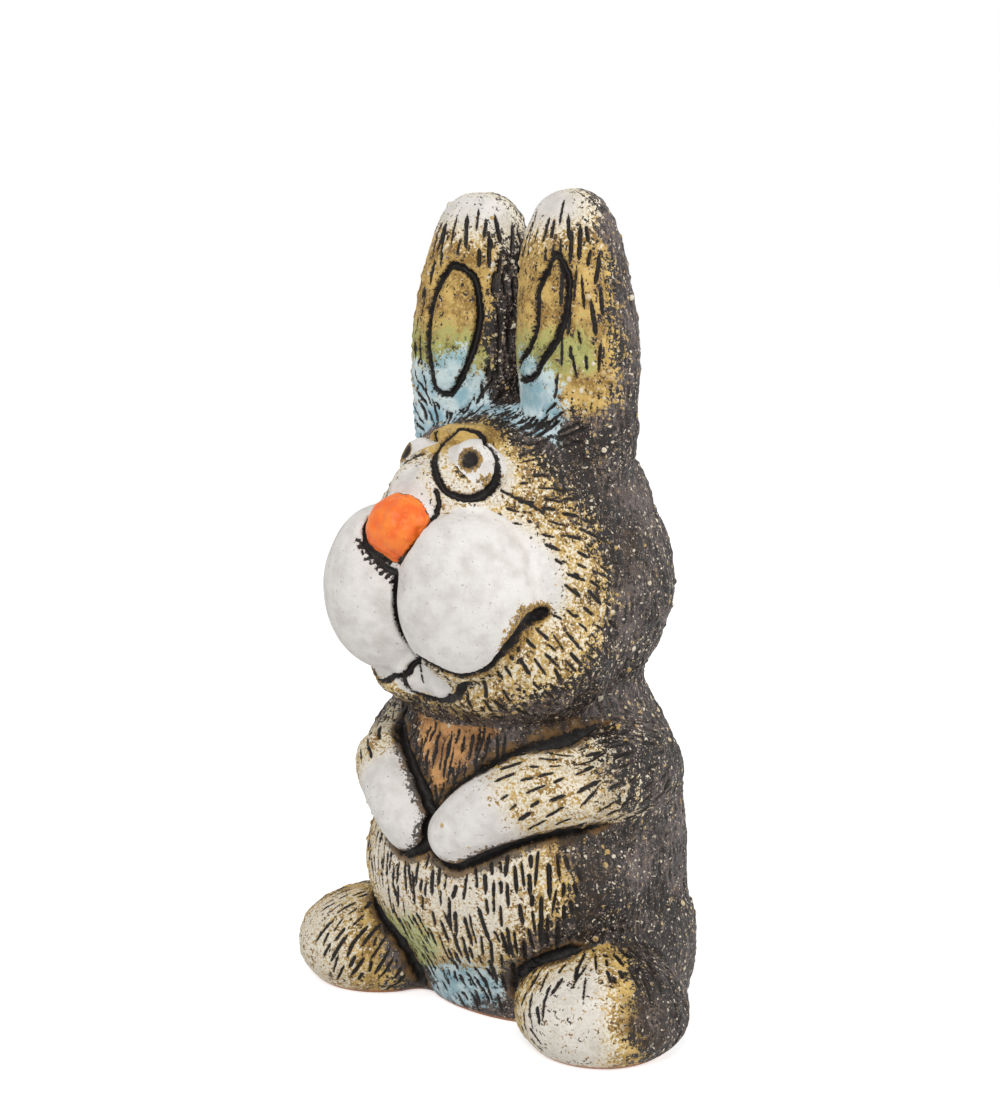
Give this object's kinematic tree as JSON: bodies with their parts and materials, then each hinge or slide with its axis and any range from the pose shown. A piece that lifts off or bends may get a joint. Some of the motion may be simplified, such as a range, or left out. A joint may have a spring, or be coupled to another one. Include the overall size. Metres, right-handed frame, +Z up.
{
  "type": "ceramic rabbit figurine",
  "caption": "Sitting rabbit figurine in hand-built stoneware with upright ears, slip-painted, hollow and open at the base.",
  "frame": {"origin": "centre of the footprint's box on the surface that the figurine stands on", "axes": "+Z up, the rabbit faces -Y, its left side is +X"},
  "size_m": [0.0698, 0.0582, 0.12],
  "materials": {
    "stained_stoneware": "matte, grogged and stained",
    "ochre_slip": "matte, slip-painted",
    "white_slip": "smooth matte slip",
    "orange_glaze": "semi-gloss glaze"
  },
  "bodies": {
    "root": {"torso_shell": "stained_stoneware", "head_shell": "stained_stoneware", "tail": "stained_stoneware", "left_haunch": "stained_stoneware", "right_haunch": "stained_stoneware", "left_ear": "ochre_slip", "right_ear": "ochre_slip", "left_arm": "white_slip", "right_arm": "white_slip", "left_foot": "white_slip", "right_foot": "white_slip", "left_muzzle_pad": "white_slip", "right_muzzle_pad": "white_slip", "left_eye": "white_slip", "right_eye": "white_slip", "left_tooth": "white_slip", "right_tooth": "white_slip", "nose": "orange_glaze"}
  },
  "joints": []
}
